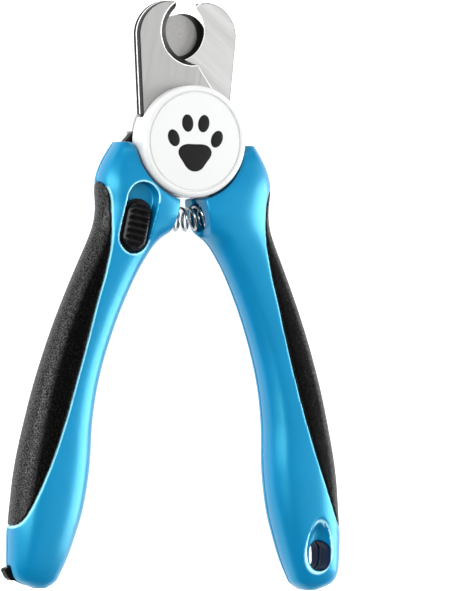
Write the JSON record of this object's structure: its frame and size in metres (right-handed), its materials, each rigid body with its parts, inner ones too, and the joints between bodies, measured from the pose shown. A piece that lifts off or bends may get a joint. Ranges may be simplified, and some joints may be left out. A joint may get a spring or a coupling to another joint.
{
  "type": "pet nail trimmer",
  "caption": "Plier-type claw trimmer with two curved blades on one pivot, sprung handles with soft grips, a slide lock, a swinging guard and a nail file kept in a handle.",
  "frame": {"origin": "centre of the rear cap's flat face, where the pivot axis meets the surface that the trimmer lies on", "axes": "+Y towards the jaws, +X towards the right handle as seen from the front, +Z along the pivot axis out of the front cap"},
  "size_m": [0.1035, 0.1674, 0.0186],
  "materials": {
    "blade_steel": "satin ground steel with fine diagonal grinding lines",
    "guard_steel": "matt tumbled steel",
    "hardware_steel": "zinc-plated steel",
    "spring_steel": "bright plated wire",
    "cap_white": "glossy white moulded plastic",
    "handle_blue": "satin sky-blue moulded plastic",
    "grip_black": "finely textured soft elastomer",
    "lock_black": "black moulded plastic",
    "file_steel": "nickel-plated cross-cut file steel"
  },
  "bodies": {
    "left_handle": {"rear_blade": "blade_steel", "pivot_bolt": "hardware_steel", "pivot_nut": "hardware_steel", "guard_friction_washer": "hardware_steel", "rear_cap": "cap_white", "left_front_shell": "handle_blue", "left_rear_shell": "handle_blue", "left_grip": "grip_black", "left_upper_tang_pin": "hardware_steel", "left_lower_tang_pin": "hardware_steel", "return_spring": "spring_steel", "lock_detent_spring": "spring_steel"},
    "right_handle": {"front_blade": "blade_steel", "pivot_washer": "hardware_steel", "front_cap": "cap_white", "right_front_shell": "handle_blue", "right_rear_shell": "handle_blue", "right_grip": "grip_black", "right_upper_tang_pin": "hardware_steel", "right_lower_tang_pin": "hardware_steel"},
    "guard": {"guard_plate": "guard_steel"},
    "lock": {"lock_button": "lock_black", "lock_bolt": "hardware_steel"},
    "nail_file": {"nail_file_blade": "file_steel", "nail_file_cap": "lock_black"}
  },
  "joints": [
    {"name": "lever_hinge", "type": "hinge", "parent": "left_handle", "child": "right_handle", "pos_m": [0, 0, 0.0093], "axis": [0, 0, 1], "range_deg": [-24.5, 0], "stiffness_Nm_per_rad": 0.35, "springref_deg": 17.19, "deforming": ["return_spring"]},
    {"name": "guard_swivel", "type": "hinge", "parent": "left_handle", "child": "guard", "pos_m": [0, 0, 0.0093], "axis": [0, 0, 1], "range_deg": [-40, 0]},
    {"name": "lock_slide", "type": "slide", "parent": "left_handle", "child": "lock", "axis": [0.1908, 0.9816, 0], "range_m": [0, 0.0044]},
    {"name": "file_slide", "type": "slide", "parent": "left_handle", "child": "nail_file", "axis": [-0.1891, -0.982, 0], "range_m": [0, 0.088]}
  ]
}
